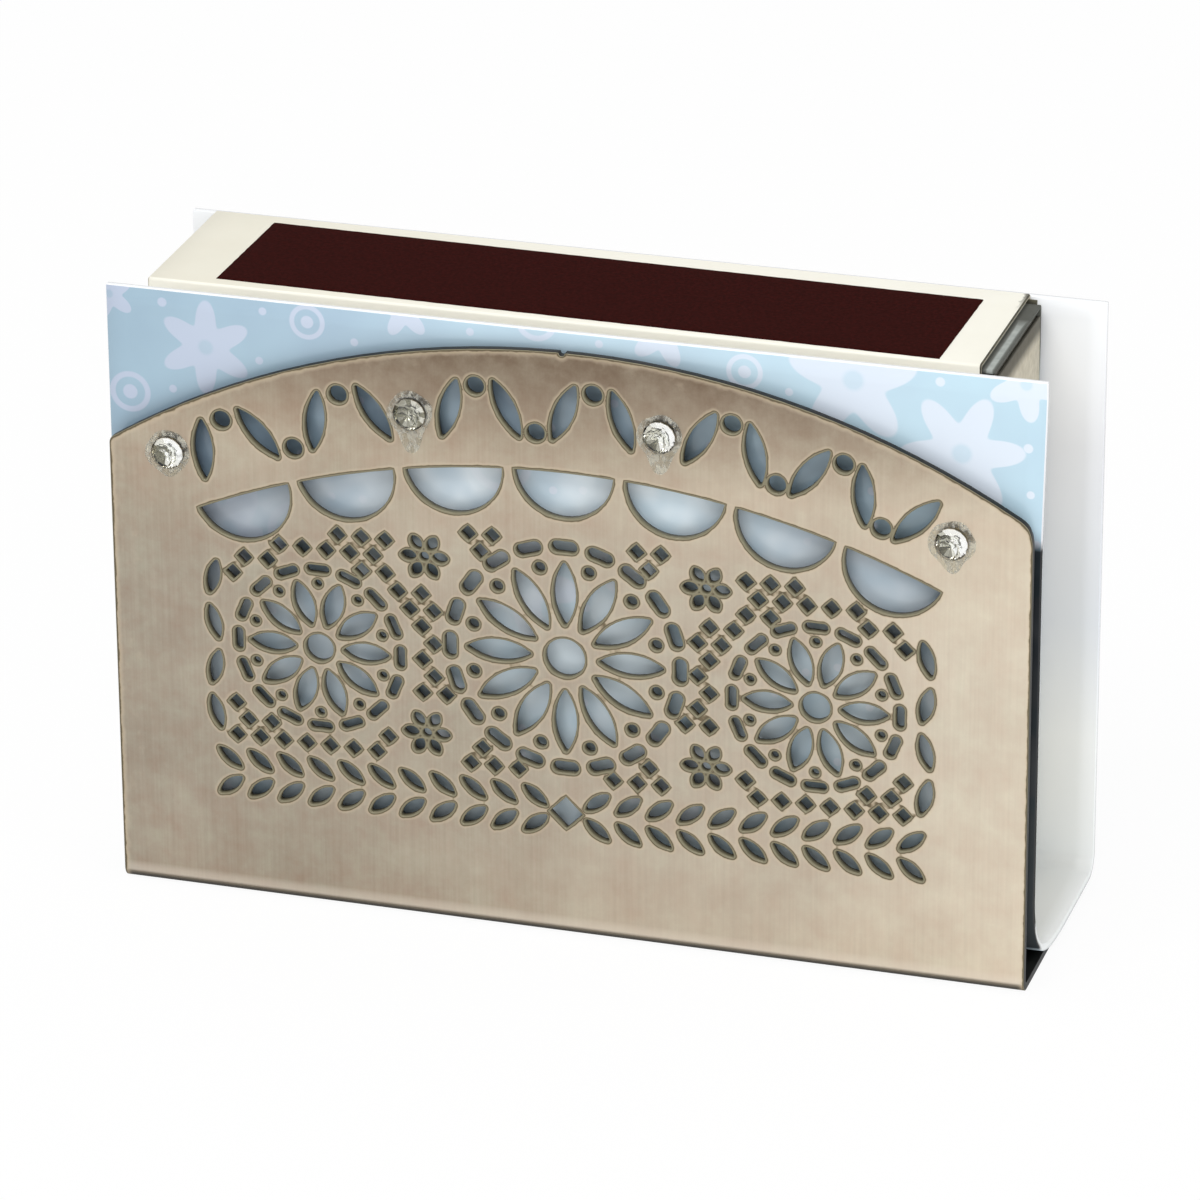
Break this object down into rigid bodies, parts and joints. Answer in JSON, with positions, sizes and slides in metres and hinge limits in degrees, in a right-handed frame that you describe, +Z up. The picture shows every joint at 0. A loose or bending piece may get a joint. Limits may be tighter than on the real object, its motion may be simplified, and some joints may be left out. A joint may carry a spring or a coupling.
{
  "type": "matchbox holder",
  "caption": "Open-ended folded metal holder with a pierced arched front set with crystals, holding a sliding-tray matchbox that lifts out.",
  "frame": {"origin": "under the middle of the whole object, on the surface it stands on", "axes": "X along the holder, +Y from the pierced front to the back wall, +Z up"},
  "size_m": [0.12, 0.0366, 0.0806],
  "materials": {
    "brushed_steel_plate": "fine brushed stainless steel, warm beige, cut edges darkened by heat",
    "printed_enamel": "satin print on metal, pale blue outside, white inside",
    "tape": "thin white foam tape",
    "clear_glue": "clear set glue, glossy",
    "crystal": "faceted clear crystal with a silvered back",
    "ivory_card": "smooth coated ivory card",
    "striking_surface": "dark maroon striking coat, finely gritted",
    "tray_card": "uncoated grey-beige card",
    "match_wood": "plain split aspen",
    "match_head": "matt red-brown match head compound"
  },
  "bodies": {
    "holder": {"pierced_plate": "brushed_steel_plate", "printed_liner": "printed_enamel", "bonding_tape": "tape", "glue_bed_1": "clear_glue", "glue_bed_2": "clear_glue", "glue_bed_3": "clear_glue", "glue_bed_4": "clear_glue", "crystal_1": "crystal", "crystal_2": "crystal", "crystal_3": "crystal", "crystal_4": "crystal"},
    "matchbox": {"matchbox_sleeve": "ivory_card", "upper_striker": "striking_surface", "lower_striker": "striking_surface"},
    "tray": {"matchbox_tray": "tray_card", "match_sticks": "match_wood", "match_heads": "match_head"}
  },
  "joints": [
    {"name": "matchbox_lift", "type": "slide", "parent": "holder", "child": "matchbox", "axis": [0, 0, 1], "range_m": [0, 0.086]},
    {"name": "tray_slide", "type": "slide", "parent": "matchbox", "child": "tray", "axis": [1, 0, 0], "range_m": [-0.078, 0.078]}
  ]
}
